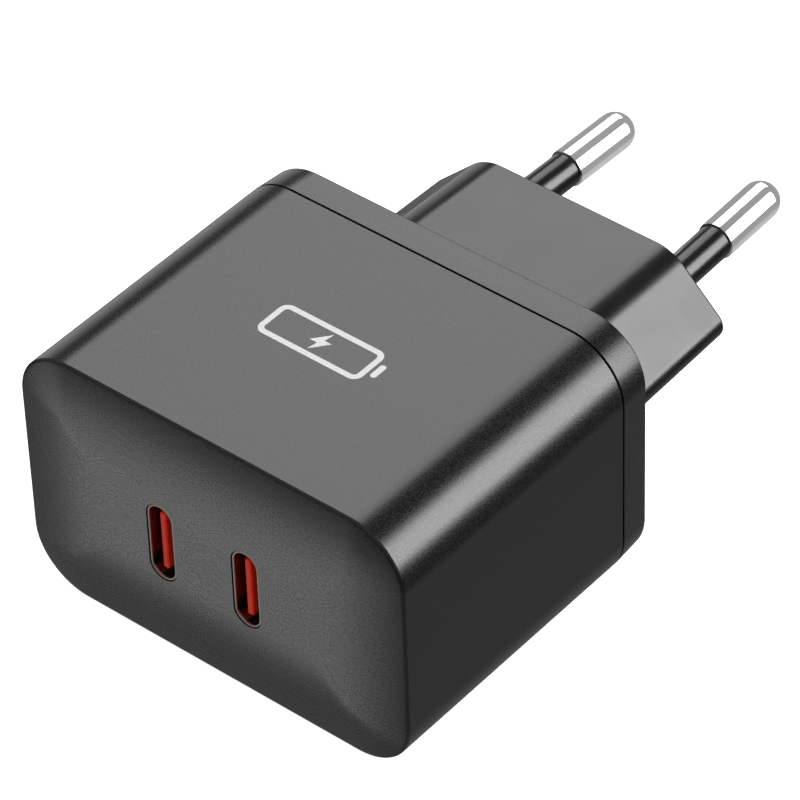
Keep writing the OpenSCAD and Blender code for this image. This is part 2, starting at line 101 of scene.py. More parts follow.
def faces_towards(axis, sign, level=None):
    """A test for faces that look along an axis, and lie at a level of it if one is given."""
    def test(face):
        at = face.calc_center_median()[axis]
        return face.normal[axis] * sign > 0.99 and (level is None or abs(at - level) < 0.01 * mm)
    return test


def rim_at(level):
    """A test for edges that lie at a level along Y."""
    def test(edge):
        return all(abs(v.co.y - level) < 0.001 * mm for v in edge.verts)
    return test


def push(distance, axis=1):
    """Extrudes what is selected along an axis."""
    way = [0, 0, 0]
    way[axis] = distance
    bpy.ops.mesh.extrude_region_move(TRANSFORM_OT_translate={"value": way})


def round_edges(radius, segments):
    bpy.ops.mesh.bevel(offset=radius, offset_type="OFFSET", segments=segments, profile=0.5, affect="EDGES")


def finish_shape(piece):
    """Leaves edit mode, shades the curves smooth and keeps the flats flat."""
    bpy.ops.mesh.select_all(action="SELECT")
    bpy.ops.mesh.remove_doubles(threshold=0.0005 * mm)
    bpy.ops.mesh.normals_make_consistent(inside=False)
    bpy.ops.object.mode_set(mode="OBJECT")
    bpy.ops.object.shade_smooth_by_angle(angle=math.radians(32))
    weighting = piece.modifiers.new("flats", "WEIGHTED_NORMAL")
    weighting.keep_sharp = True
    weighting.weight = 80
    bpy.ops.object.modifier_apply(modifier=weighting.name)
    piece.select_set(False)


def copy_beside(piece, name, way):
    """A copy of a finished piece with its own mesh, moved by way."""
    piece.select_set(True)
    bpy.context.view_layer.objects.active = piece
    bpy.ops.object.duplicate(linked=False)
    twin = bpy.context.object
    twin.name = name
    twin.location = way
    bpy.ops.object.transform_apply(location=True, rotation=True, scale=True)
    bpy.ops.object.select_all(action="DESELECT")
    return twin


port_wall, flat_left = 0.3 * mm, 0.02 * mm
port_low, port_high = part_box("port_shell_left")
port_board_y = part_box("port_board")[0].y
port_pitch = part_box("port_shell_right")[0].x - port_low.x
port_x = -port_pitch / 2
port_round = (port_high.x - port_low.x) / 2 - flat_left

receptacle_left = start_block("receptacle_left", port_low, (port_high.x, port_board_y, port_high.z))
choose("EDGE", runs_along(1))
round_edges(port_round, 14)
choose("FACE", lambda face: abs(face.normal.y) > 0.99)
bpy.ops.mesh.inset(thickness=port_wall, use_even_offset=True)
bpy.ops.mesh.bridge_edge_loops()
choose("EDGE", lambda edge: rim_at(port_low.y)(edge)
       and len({round(f.normal.y) for f in edge.link_faces}) == 2)
round_edges(0.22 * mm, 2)
finish_shape(receptacle_left)
receptacle_right = copy_beside(receptacle_left, "receptacle_right", (port_pitch, 0, 0))


def new_finish(name, roughness, metallic=0.0):
    """A material whose shader reads patterns in the charger's own frame."""
    material = bpy.data.materials.new(name)
    material.use_nodes = True
    shader = material.node_tree.nodes["Principled BSDF"]
    shader.inputs["Roughness"].default_value = roughness
    shader.inputs["Metallic"].default_value = metallic
    return material, shader


def cloudy(material, size, detail=2.0, stretch=(1, 1, 1)):
    """A soft noise pattern of the given size, drawn out along an axis where stretch is small."""
    add, link = material.node_tree.nodes.new, material.node_tree.links.new
    place, turn, noise = add("ShaderNodeTexCoord"), add("ShaderNodeMapping"), add("ShaderNodeTexNoise")
    turn.inputs["Scale"].default_value = stretch
    noise.inputs["Scale"].default_value = 1 / size
    noise.inputs["Detail"].default_value = detail
    link(place.outputs["Object"], turn.inputs["Vector"])
    link(turn.outputs["Vector"], noise.inputs["Vector"])
    return noise.outputs["Fac"]


def tint(material, shader, pattern, dark, light, low=0.35, high=0.65):
    """Colours the finish from dark to light over a pattern."""
    ramp = material.node_tree.nodes.new("ShaderNodeValToRGB")
    ramp.color_ramp.elements[0].position, ramp.color_ramp.elements[1].position = low, high
    ramp.color_ramp.elements[0].color, ramp.color_ramp.elements[1].color = (*dark, 1), (*light, 1)
    material.node_tree.links.new(pattern, ramp.inputs["Fac"])
    material.node_tree.links.new(ramp.outputs["Color"], shader.inputs["Base Color"])


def vary_gloss(material, shader, pattern, smooth, rough):
    """Spreads the roughness between two values over a pattern."""
    spread = material.node_tree.nodes.new("ShaderNodeMapRange")
    spread.inputs["From Min"].default_value, spread.inputs["From Max"].default_value = 0.3, 0.7
    spread.inputs["To Min"].default_value, spread.inputs["To Max"].default_value = smooth, rough
    material.node_tree.links.new(pattern, spread.inputs["Value"])
    material.node_tree.links.new(spread.outputs["Result"], shader.inputs["Roughness"])


def emboss(material, shader, pattern, depth):
    """Raises the surface by a pattern up to a depth."""
    bump = material.node_tree.nodes.new("ShaderNodeBump")
    bump.inputs["Strength"].default_value = 1.0
    bump.inputs["Distance"].default_value = depth
    material.node_tree.links.new(pattern, bump.inputs["Height"])
    material.node_tree.links.new(bump.outputs["Normal"], shader.inputs["Normal"])


port_steel, shader = new_finish("drawn_port_steel", 0.25, metallic=1.0)
draw_lines = cloudy(port_steel, 0.3 * mm, stretch=(1, 0.08, 1))
tint(port_steel, shader, draw_lines, (0.40, 0.32, 0.28), (0.48, 0.40, 0.36))
vary_gloss(port_steel, shader, draw_lines, 0.18, 0.26)
emboss(port_steel, shader, draw_lines, 0.001 * mm)

for piece, side in ((receptacle_left, "left"), (receptacle_right, "right")):
    piece.data.materials.append(port_steel)
    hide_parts("port_shell_" + side)
    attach(piece, "root")

# ---- USB-C tongues ----
# The insulator is moulded in orange-red polymer round a steel mid plate: a base that plugs the back
# of the shell, a shoulder, and a flat tongue with a bevelled tip that ends just inside the mouth.


def cut_with(piece, tool, operation="DIFFERENCE"):
    """Cuts a finished solid with another, or joins them; the other is used up."""
    cut = piece.modifiers.new("cut", "BOOLEAN")
    cut.operation, cut.solver, cut.object = operation, "EXACT", tool
    bpy.context.view_layer.objects.active = piece
    bpy.ops.object.modifier_apply(modifier=cut.name)
    bpy.data.objects.remove(tool)


def upright_bar(name, half_t, half_l, corner, from_y, to_y, segments=6):
    """A flat bar in the left port, along Y, with its four long edges rounded."""
    bar = start_block(name, (port_x - half_t, from_y, -half_l), (port_x + half_t, to_y, half_l))
    choose("EDGE", runs_along(1))
    round_edges(corner, segments)
    return bar


tongue_low, tongue_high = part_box("port_tongue_left")
base_y = port_low.y + 6.2 * mm
shoulder_y = base_y - 0.9 * mm
base_round, tip_bevel, overlap = 1.24 * mm, 0.17 * mm, 0.05 * mm
shoulder_half_t, shoulder_half_l = 0.65 * mm, 3.645 * mm
blade_half_t, blade_half_l = 0.35 * mm, 3.345 * mm

tongue_left = upright_bar("tongue_left", tongue_high.x - port_x, tongue_high.z, base_round, base_y,
                          tongue_high.y, 10)
bpy.ops.object.mode_set(mode="OBJECT")
shoulder = upright_bar("shoulder", shoulder_half_t, shoulder_half_l, 0.3 * mm, shoulder_y, base_y + overlap)
bpy.ops.object.mode_set(mode="OBJECT")
blade = upright_bar("blade", blade_half_t, blade_half_l, 0.2 * mm, tongue_low.y, shoulder_y + overlap)
choose("EDGE", rim_at(tongue_low.y))
round_edges(tip_bevel, 3)
bpy.ops.object.mode_set(mode="OBJECT")
cut_with(tongue_left, shoulder, "UNION")
cut_with(tongue_left, blade, "UNION")
# the tongue isn't selected here, so its facets stay flat shaded
bpy.ops.object.mode_set(mode="EDIT")
finish_shape(tongue_left)
tongue_right = copy_beside(tongue_left, "tongue_right", (port_pitch, 0, 0))

tongue_polymer, shader = new_finish("orange_tongue_polymer", 0.3)
flow = cloudy(tongue_polymer, 1.2 * mm, detail=4, stretch=(1, 0.4, 1))
tint(tongue_polymer, shader, flow, (0.80, 0.018, 0.003), (0.92, 0.032, 0.006))
emboss(tongue_polymer, shader, cloudy(tongue_polymer, 0.08 * mm), 0.003 * mm)

for piece, side in ((tongue_left, "left"), (tongue_right, "right")):
    piece.data.materials.append(tongue_polymer)
    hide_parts("port_tongue_" + side)
    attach(piece, "root")

# ---- contacts of the ports ----
# Twelve flat contacts on each face of each tongue, stamped from bronze strip and flashed with gold.
# They lie flush along the polymer, and their tails run back through the base to the port board.


def dress(material, *names):
    """Gives CAD nodes their finish."""
    for name in names:
        nodes[name].material_slots[0].material = material


contact_gold, shader = new_finish("flash_gold", 0.25, metallic=1.0)
plating = cloudy(contact_gold, 0.4 * mm, detail=3)
tint(contact_gold, shader, plating, (0.78, 0.52, 0.19), (0.93, 0.68, 0.30))
vary_gloss(contact_gold, shader, plating, 0.18, 0.32)
emboss(contact_gold, shader, cloudy(contact_gold, 0.05 * mm), 0.001 * mm)
dress(contact_gold, "port_contacts_left", "port_contacts_right")

# ---- port board and main board ----
# Both boards are glass epoxy under green solder mask, which shows the copper fields beneath it. The
# port board stands behind the front wall on two posts, and the main board's tabs plug into it.


def within(material, axis, middle, reach):
    """A mask: 1 where a point lies within reach of the middle along an axis of the charger, else 0."""
    add, link = material.node_tree.nodes.new, material.node_tree.links.new
    place, split, near = add("ShaderNodeTexCoord"), add("ShaderNodeSeparateXYZ"), add("ShaderNodeMath")
    near.operation = "COMPARE"
    near.inputs[1].default_value, near.inputs[2].default_value = middle, reach
    link(place.outputs["Object"], split.inputs["Vector"])
    link(split.outputs[axis], near.inputs[0])
    return near.outputs["Value"]


def above(material, level):
    """A mask: 1 where a point lies above a level, else 0."""
    tallest = 40 * mm
    return within(material, 2, level + tallest / 2, tallest / 2)


def paint_over(material, shader, mask, colour):
    """Keeps the finish where the mask is 1 and paints the rest."""
    link = material.node_tree.links.new
    mix = material.node_tree.nodes.new("ShaderNodeMixRGB")
    mix.inputs["Color1"].default_value = (*colour, 1)
    link(shader.inputs["Base Color"].links[0].from_socket, mix.inputs["Color2"])
    link(mask, mix.inputs["Fac"])
    link(mix.outputs["Color"], shader.inputs["Base Color"])


bright_tin = (0.66, 0.65, 0.63)


def tin_over(material, shader, mask):
    """Keeps the finish where the mask is 1 and tins the rest."""
    paint_over(material, shader, mask, bright_tin)
    bare = material.node_tree.nodes.new("ShaderNodeMath")
    bare.operation, bare.inputs[0].default_value = "SUBTRACT", 1
    material.node_tree.links.new(mask, bare.inputs[1])
    material.node_tree.links.new(bare.outputs["Value"], shader.inputs["Metallic"])


def cells(material, size):
    """Cells of about a size: how far a point lies from the edge of its cell."""
    add, link = material.node_tree.nodes.new, material.node_tree.links.new
    place, grid = add("ShaderNodeTexCoord"), add("ShaderNodeTexVoronoi")
    grid.feature = "DISTANCE_TO_EDGE"
    grid.inputs["Scale"].default_value = 1 / size
    link(place.outputs["Object"], grid.inputs["Vector"])
    return grid.outputs["Distance"]


for name, board, through in (("port_board_mask", "port_board", 1), ("main_board_mask", "main_board", 2)):
    board_low, board_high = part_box(board)
    mask_green, shader = new_finish(name, 0.3)
    copper = cells(mask_green, 3.4 * mm)
    tint(mask_green, shader, copper, (0.004, 0.05, 0.02), (0.012, 0.13, 0.055), 0.02, 0.05)
    cut_edges = [within(mask_green, axis, (board_low[axis] + board_high[axis]) / 2,
                        (board_high[axis] - board_low[axis]) / 2 - 0.05 * mm)
                 for axis in range(3) if axis != through]
    for edge in cut_edges:
        paint_over(mask_green, shader, edge, (0.36, 0.30, 0.13))
    vary_gloss(mask_green, shader, cloudy(mask_green, 0.8 * mm), 0.22, 0.4)
    emboss(mask_green, shader, copper, 0.03 * mm)
    dress(mask_green, board)

# ---- parts on the port board ----
# Two square controllers in black epoxy, a power inductor pressed from ferrite powder, and a column
# of five ceramic chip capacitors with tinned ends, all soldered on the side that faces the ports.

chip_epoxy, shader = new_finish("moulded_chip_epoxy", 0.5)
filler = cloudy(chip_epoxy, 0.06 * mm, detail=3)
tint(chip_epoxy, shader, filler, (0.012, 0.012, 0.013), (0.03, 0.03, 0.032))
vary_gloss(chip_epoxy, shader, cloudy(chip_epoxy, 0.6 * mm), 0.4, 0.6)
emboss(chip_epoxy, shader, filler, 0.006 * mm)
dress(chip_epoxy, "port_controllers")

ferrite, shader = new_finish("sintered_ferrite", 0.6)
pores = cloudy(ferrite, 0.12 * mm, detail=5)
tint(ferrite, shader, pores, (0.018, 0.018, 0.02), (0.055, 0.055, 0.06))
vary_gloss(ferrite, shader, pores, 0.45, 0.75)
emboss(ferrite, shader, pores, 0.012 * mm)
dress(ferrite, "port_inductor")

chip_ceramic, shader = new_finish("chip_ceramic", 0.35)
fired = cloudy(chip_ceramic, 0.15 * mm, detail=4)
tint(chip_ceramic, shader, fired, (0.26, 0.19, 0.11), (0.36, 0.27, 0.16))
tin_over(chip_ceramic, shader, within(chip_ceramic, 0, 0, 1.15 * mm))
vary_gloss(chip_ceramic, shader, fired, 0.25, 0.45)
emboss(chip_ceramic, shader, fired, 0.004 * mm)
dress(chip_ceramic, "port_ceramic_capacitors")

# ---- transformer ----
# Two ferrite halves meet inside a black phenolic bobbin, whose coils are wrapped in layers of yellow
# polyester tape. The bobbin's six tinned pins go through the main board.

board_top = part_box("main_board")[1].z
dress(ferrite, "transformer_core_lower", "transformer_core_upper")

bobbin_black, shader = new_finish("phenolic_bobbin", 0.4)
resin = cloudy(bobbin_black, 0.5 * mm, detail=4)
tint(bobbin_black, shader, resin, (0.014, 0.013, 0.012), (0.032, 0.03, 0.028))
tin_over(bobbin_black, shader, above(bobbin_black, board_top + 0.4 * mm))
vary_gloss(bobbin_black, shader, resin, 0.3, 0.5)
emboss(bobbin_black, shader, resin, 0.006 * mm)
dress(bobbin_black, "transformer_bobbin")

yellow_tape, shader = new_finish("yellow_coil_tape", 0.25)
wraps = cloudy(yellow_tape, 1.1 * mm, detail=1, stretch=(0.15, 0.15, 1))
tint(yellow_tape, shader, wraps, (0.62, 0.36, 0.03), (0.80, 0.52, 0.06))
vary_gloss(yellow_tape, shader, wraps, 0.15, 0.35)
emboss(yellow_tape, shader, wraps, 0.05 * mm)
dress(yellow_tape, "transformer_winding")

# ---- choke ----
# A ferrite ring under green epoxy stands on the main board, with a coil of five turns of enamelled
# copper wire on each side. The four wire ends are tinned where they pass through the board.

ring_green, shader = new_finish("green_ring_epoxy", 0.25)
flow = cloudy(ring_green, 0.7 * mm, detail=2)
tint(ring_green, shader, flow, (0.015, 0.09, 0.035), (0.03, 0.15, 0.06))
vary_gloss(ring_green, shader, flow, 0.15, 0.35)
emboss(ring_green, shader, flow, 0.03 * mm)
dress(ring_green, "choke_core")

magnet_wire, shader = new_finish("enamelled_wire", 0.22, metallic=1.0)
enamel = cloudy(magnet_wire, 0.5 * mm, detail=3)
tint(magnet_wire, shader, enamel, (0.44, 0.14, 0.04), (0.62, 0.24, 0.08))
paint_over(magnet_wire, shader, above(magnet_wire, board_top), bright_tin)
vary_gloss(magnet_wire, shader, enamel, 0.15, 0.3)
emboss(magnet_wire, shader, enamel, 0.008 * mm)
dress(magnet_wire, "choke_winding")

# ---- capacitors and fuse ----
# Aluminium cans stand on two tinned leads each: the mains pair in dark blue shrink sleeve with a pale
# stripe down the minus side, the output pair bare. Box, disc and fuse are moulded or dipped.

can_foot = board_top + 0.3 * mm
bulk_low, bulk_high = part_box("bulk_capacitor_front")

shrink_blue, shader = new_finish("blue_shrink_sleeve", 0.22)
film = cloudy(shrink_blue, 1.5 * mm, detail=3)
tint(shrink_blue, shader, film, (0.010, 0.012, 0.05), (0.016, 0.02, 0.075))
paint_over(shrink_blue, shader, within(shrink_blue, 0, bulk_high.x - 11 * mm, 10 * mm), (0.55, 0.57, 0.62))
tin_over(shrink_blue, shader, within(shrink_blue, 2, can_foot + 8.8 * mm, 8.95 * mm))
vary_gloss(shrink_blue, shader, film, 0.16, 0.3)
emboss(shrink_blue, shader, film, 0.02 * mm)
dress(shrink_blue, "bulk_capacitor_front", "bulk_capacitor_rear")

bare_can, shader = new_finish("bare_capacitor_can", 0.3, metallic=1.0)
drawing = cloudy(bare_can, 0.25 * mm, detail=3, stretch=(1, 1, 0.1))
tint(bare_can, shader, drawing, (0.66, 0.66, 0.68), (0.80, 0.80, 0.82))
vary_gloss(bare_can, shader, drawing, 0.22, 0.4)
emboss(bare_can, shader, drawing, 0.003 * mm)
dress(bare_can, "output_capacitor_front", "output_capacitor_rear")

for name, node, dark, light, pit in (
        ("yellow_box_moulding", "x_capacitor", (0.48, 0.34, 0.04), (0.60, 0.45, 0.07), 0.4 * mm),
        ("blue_disc_lacquer", "y_capacitor", (0.008, 0.05, 0.22), (0.014, 0.09, 0.34), 0.6 * mm),
        ("brown_fuse_moulding", "fuse", (0.06, 0.025, 0.012), (0.10, 0.045, 0.022), 0.4 * mm)):
    casing, shader = new_finish(name, 0.3)
    skin = cloudy(casing, pit, detail=3)
    tint(casing, shader, skin, dark, light)
    tin_over(casing, shader, above(casing, board_top + 0.15 * mm))
    vary_gloss(casing, shader, skin, 0.2, 0.4)
    emboss(casing, shader, skin, 0.015 * mm)
    dress(casing, node)

# ---- chips on the main board ----
# The optocoupler sits on top; the bridge, the power switch and the rectifier lie under the board, in
# the same black epoxy. Their bent or flat feet are tinned.

past_side = 0.02 * mm
for node, foot in (("optocoupler", 0.7), ("bridge_rectifier", 0.4), ("power_switch", 0.4),
                   ("sync_rectifier", 0.4)):
    chip_low, chip_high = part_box(node)
    footed, shader = new_finish(node + "_epoxy", 0.5)
    filler = cloudy(footed, 0.06 * mm, detail=3)
    tint(footed, shader, filler, (0.012, 0.012, 0.013), (0.03, 0.03, 0.032))
    tin_over(footed, shader, within(footed, 0, (chip_low.x + chip_high.x) / 2,
                                    (chip_high.x - chip_low.x) / 2 - foot * mm + past_side))
    vary_gloss(footed, shader, cloudy(footed, 0.6 * mm), 0.35, 0.55)
    emboss(footed, shader, filler, 0.006 * mm)
    dress(footed, node)

# ---- insulation sheet, heat spreader and thermal pad ----
# A polyester film lies under the main board. A rolled aluminium plate lies under the shell's top, and
# a soft blue-grey silicone pad carries heat to it from the transformer.

film_clear, shader = new_finish("polyester_film", 0.3)
haze = cloudy(film_clear, 4 * mm, detail=3)
tint(film_clear, shader, haze, (0.50, 0.44, 0.26), (0.60, 0.54, 0.34))
vary_gloss(film_clear, shader, haze, 0.2, 0.4)
emboss(film_clear, shader, haze, 0.05 * mm)
dress(film_clear, "insulation_sheet")

rolled_plate, shader = new_finish("rolled_aluminium", 0.3, metallic=1.0)
rolling = cloudy(rolled_plate, 0.3 * mm, detail=3, stretch=(1, 0.04, 1))
tint(rolled_plate, shader, rolling, (0.62, 0.63, 0.65), (0.76, 0.77, 0.79))
vary_gloss(rolled_plate, shader, rolling, 0.22, 0.38)
emboss(rolled_plate, shader, rolling, 0.002 * mm)
dress(rolled_plate, "heat_spreader")

silicone, shader = new_finish("silicone_pad", 0.7)
filled = cloudy(silicone, 0.3 * mm, detail=5)
tint(silicone, shader, filled, (0.26, 0.31, 0.40), (0.34, 0.40, 0.50))
vary_gloss(silicone, shader, filled, 0.6, 0.85)
emboss(silicone, shader, filled, 0.02 * mm)
dress(silicone, "thermal_pad")

# ---- plug pins ----
# Each pin is turned in one piece from brass and nickel plated: a tail, a grooved root that the block
# grips, a collar, a slim core under the jacket, and the bare 4 mm end with its round nose.


def turn_on_lathe(name, stations, hollow=False):
    """Turns a piece about the Y axis from (y, radius) stations, pulled one after another."""
    first_y, first_r = stations[0]
    bpy.ops.mesh.primitive_circle_add(vertices=64, radius=first_r, location=(0, first_y, 0),
                                      rotation=(math.pi / 2, 0, 0))
    bpy.ops.object.transform_apply(location=True, rotation=True, scale=True)
    piece = bpy.context.object
    piece.name = name
    bpy.ops.object.mode_set(mode="EDIT")
    bpy.ops.mesh.select_all(action="SELECT")
    if not hollow:
        bpy.ops.mesh.edge_face_add()
    y, r = first_y, first_r
    choose("EDGE", lambda edge: True)
    for next_y, next_r in stations[1:]:
        bpy.ops.mesh.extrude_edges_move(TRANSFORM_OT_translate={"value": (0, next_y - y, 0)})
        bpy.ops.transform.resize(value=(next_r / r, 1, next_r / r), center_override=(0, next_y, 0))
        y, r = next_y, next_r
    if not hollow:
        bpy.ops.mesh.edge_face_add()
    return piece


def lean_in(piece, side, name):
    """A copy of a turned piece, stood at its side of the plug face and leaning in to the middle."""
    twin = copy_beside(piece, name, (0, 0, 0))
    twin.rotation_euler.z = side * pin_lean
    twin.location.x = side * pin_gap / 2
    twin.select_set(True)
    bpy.context.view_layer.objects.active = twin
    bpy.ops.object.transform_apply(location=True, rotation=True, scale=True)
    bpy.ops.object.select_all(action="DESELECT")
    return twin


pin_gap, pin_gap_tip, pin_len = 18.6 * mm, 17.5 * mm, 19 * mm
pin_lean = math.atan((pin_gap - pin_gap_tip) / 2 / pin_len)
tail_r, root_r, groove_r, collar_r, core_r, pin_r = (r * mm for r in (1.2, 2.2, 1.9, 2.9, 1.4, 2.0))
tail_y, root_y, collar_y, jacket_y, bare_y = (y * mm for y in (-15.5, -11.5, -3.5, -2, 9.5))
fit_gap = 0.02 * mm

pin_stations = [(tail_y, tail_r - 0.2 * mm), (tail_y + 0.2 * mm, tail_r), (root_y, tail_r), (root_y, root_r)]
for groove in range(4):
    groove_y = root_y + (1 + 1.8 * groove) * mm
    pin_stations += [(groove_y, root_r), (groove_y, groove_r), (groove_y + 0.8 * mm, groove_r),
                     (groove_y + 0.8 * mm, root_r)]
pin_stations += [(collar_y, root_r), (collar_y, collar_r), (jacket_y - fit_gap, collar_r),
                 (jacket_y - fit_gap, core_r), (bare_y, core_r), (bare_y, pin_r - 0.15 * mm),
                 (bare_y + 0.05 * mm, pin_r - 0.04 * mm), (bare_y + 0.15 * mm, pin_r)]
nose_y = pin_len - pin_r
pin_stations += [(nose_y + pin_r * math.sin(t), pin_r * math.cos(t))
                 for t in (math.radians(a) for a in (0, 8, 16, 24, 32, 40, 48, 56, 64, 72, 79, 85))]
straight_pin = turn_on_lathe("straight_pin", pin_stations)
finish_shape(straight_pin)
pin_metal_left = lean_in(straight_pin, -1, "pin_metal_left")
pin_metal_right = lean_in(straight_pin, 1, "pin_metal_right")
bpy.data.objects.remove(straight_pin)

nickel, shader = new_finish("bright_nickel", 0.07, metallic=1.0)
polish = cloudy(nickel, 2.5 * mm, detail=3, stretch=(1, 0.3, 1))
tint(nickel, shader, polish, (0.86, 0.86, 0.87), (0.93, 0.93, 0.93))
vary_gloss(nickel, shader, polish, 0.04, 0.07)
emboss(nickel, shader, cloudy(nickel, 1.5 * mm, stretch=(1, 0.3, 1)), 0.0004 * mm)

for piece, side in ((pin_metal_left, "left"), (pin_metal_right, "right")):
    piece.data.materials.append(nickel)
    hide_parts("pin_" + side)
    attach(piece, "root")

# ---- pin jackets ----
# A black nylon tube insulates the half of each pin next to the block, so that no live metal shows
# while the plug goes in. Its flange is held in the block, and its end stops against the bare metal.

jacket_r, flange_r, flange_end_y = 1.8 * mm, 2.4 * mm, -0.8 * mm
inner_r = core_r + fit_gap
straight_jacket = turn_on_lathe("straight_jacket", [
    (jacket_y, inner_r), (jacket_y, flange_r), (flange_end_y, flange_r), (flange_end_y, jacket_r),
    (bare_y - 0.14 * mm, jacket_r), (bare_y - 0.05 * mm, jacket_r - 0.04 * mm),
    (bare_y - fit_gap, jacket_r - 0.12 * mm), (bare_y - fit_gap, inner_r),
    (jacket_y, inner_r)], hollow=True)
finish_shape(straight_jacket)
pin_jacket_left = lean_in(straight_jacket, -1, "pin_jacket_left")
pin_jacket_right = lean_in(straight_jacket, 1, "pin_jacket_right")
bpy.data.objects.remove(straight_jacket)

nylon, shader = new_finish("black_nylon", 0.22)
tint(nylon, shader, cloudy(nylon, 1.5 * mm), (0.006, 0.006, 0.006), (0.009, 0.009, 0.009))
emboss(nylon, shader, cloudy(nylon, 0.16 * mm, detail=1), 0.008 * mm)

for piece, side in ((pin_jacket_left, "left"), (pin_jacket_right, "right")):
    piece.data.materials.append(nylon)
    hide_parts("pin_sleeve_" + side)
    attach(piece, "root")

# ---- pin contacts ----
# A strip of phosphor bronze is stamped for each pin: an eyelet soldered on the pin's tail, an arm back
# along the block and a leg that goes through a slot in the main board.

spring_bronze, shader = new_finish("phosphor_bronze", 0.3, metallic=1.0)
strip = cloudy(spring_bronze, 0.4 * mm, detail=4, stretch=(1, 0.2, 1))
tint(spring_bronze, shader, strip, (0.60, 0.34, 0.15), (0.76, 0.47, 0.22))
vary_gloss(spring_bronze, shader, strip, 0.22, 0.42)
emboss(spring_bronze, shader, strip, 0.003 * mm)
dress(spring_bronze, "pin_contact_left", "pin_contact_right")

# ---- plug block ----
# The hexagonal block is moulded in satin black polycarbonate round the pins, with draft towards its
# face so that it leaves the mould. A flange at its root is welded behind the rear cover.


def hex_block(name, half_w, half_h, half_flat, edge_round, from_y, to_y, growth=0.0):
    """A hexagonal bar along Y with a flat top and bottom, its six long edges rounded.
    Its from_y end is larger all round by growth."""
    bpy.ops.mesh.primitive_cylinder_add(vertices=6, radius=half_w, depth=to_y - from_y,
                                        location=(0, (from_y + to_y) / 2, 0),
                                        rotation=(math.pi / 2, math.pi / 2, 0))
    bpy.ops.object.transform_apply(location=True, rotation=True, scale=True)
    piece = bpy.context.object
    piece.name = name
    bpy.ops.object.mode_set(mode="EDIT")
    # the bar's corners start on an even hexagon, whose flats are half_w wide
    choose("VERT", lambda v: abs(abs(v.co.x) - half_w) > 0.1 * mm)
    even_h = max(abs(v.co.z) for v in bmesh.from_edit_mesh(piece.data).verts)
    even_flat = min(abs(v.co.x) for v in bmesh.from_edit_mesh(piece.data).verts)
    bpy.ops.transform.resize(value=(half_flat / even_flat, 1, half_h / even_h), center_override=(0, 0, 0))
    choose("EDGE", runs_along(1))
    round_edges(edge_round, 12)
    choose("FACE", faces_towards(1, -1))
    bpy.ops.transform.resize(value=(1 + growth / half_w, 1, 1 + growth / half_h),
                             center_override=(0, from_y, 0))
    return piece


block_half_w, block_half_h, block_half_flat, block_round = 18 * mm, 6.5 * mm, 11.2 * mm, 1.78 * mm
block_draft = 0.576 * mm
flange_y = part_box("plug_block")[0].y
cover_inner_y = flange_y + 1 * mm
plug_body = hex_block("plug_body", block_half_w, block_half_h, block_half_flat, block_round,
                      cover_inner_y, 0, block_draft)
choose("EDGE", rim_at(0))
round_edges(0.3 * mm, 3)
finish_shape(plug_body)

block_black, shader = new_finish("satin_block_black", 0.25)
mottle = cloudy(block_black, 5 * mm, detail=3)
tint(block_black, shader, mottle, (0.007, 0.007, 0.0073), (0.009, 0.009, 0.0093))
vary_gloss(block_black, shader, mottle, 0.22, 0.27)
emboss(block_black, shader, cloudy(block_black, 0.10 * mm, detail=2), 0.002 * mm)
plug_body.data.materials.append(block_black)
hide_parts("plug_block")
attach(plug_body, "root")

# ---- front shell ----
# One deep box moulded in matt black polycarbonate with a fine spark texture. Its front wall is
# crowned like a shallow cushion and has a close oval hole for each port.

shell_low, shell_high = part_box("main_shell")
half_w, half_h, corner_r = shell_high.x, shell_high.z, 6.1 * mm
front_y, seam_y = shell_low.y, shell_high.y
crown_h, crown_run = 1.33 * mm, 10.7 * mm
crown_r = (crown_run ** 2 + crown_h ** 2) / (2 * crown_h)
edge_y = front_y + crown_h
wall, front_wall = 1.9 * mm, 1.6 * mm
crown_rings = [d * mm for d in (0.4, 1.1, 2.2, 3.3, 4.3, 5.2)] + [corner_r]
crown_grid = [d * mm for d in (7, 7.9, 8.8, 9.7)] + [crown_run]

front_shell = start_block("front_shell", (-half_w, edge_y, -half_h), (half_w, seam_y, half_h))
choose("EDGE", runs_along(1))
round_edges(corner_r, 24)
choose("FACE", faces_towards(1, -1))
for ring, last in zip(crown_rings, [0.0] + crown_rings):
    bpy.ops.mesh.inset(thickness=ring - last, use_even_offset=True)
bpy.ops.mesh.select_all(action="SELECT")
bpy.ops.mesh.remove_doubles(threshold=0.02 * mm)
for inwards in crown_grid:
    for axis, half in ((0, half_w), (2, half_h)):
        for side in (-1, 1):
            choose("FACE", faces_towards(1, -1))
            plane_no, plane_co = [0, 0, 0], [0, edge_y, 0]
            plane_no[axis], plane_co[axis] = 1, side * (half - inwards)
            bpy.ops.mesh.bisect(plane_co=plane_co, plane_no=plane_no)
mitre_x, mitre_z = half_w - corner_r, half_h - corner_r


def on_mitre(side_x, side_z):
    """A test for faces of the front that lie on the diagonal from one of its corners."""
    def test(face):
        at = face.calc_center_median()
        return (face.normal.y < -0.99 and at.x * side_x > 0 and at.z * side_z > 0
                and abs(abs(at.x) - abs(at.z) - mitre_x + mitre_z) < 0.01 * mm
                and half_h - crown_run < abs(at.z) < mitre_z)
    return test


for side_x in (-1, 1):
    for side_z in (-1, 1):
        choose("FACE", on_mitre(side_x, side_z))
        bpy.ops.mesh.bisect(plane_co=(side_x * mitre_x, edge_y, side_z * mitre_z),
                            plane_no=(side_x, 0, -side_z))


def from_outline(co):
    """How far a point of the front lies inside its rounded outline."""
    out_x, out_z = abs(co.x) - mitre_x, abs(co.z) - mitre_z
    if out_x > 0 and out_z > 0:
        return corner_r - math.hypot(out_x, out_z)
    return corner_r - max(out_x, out_z)


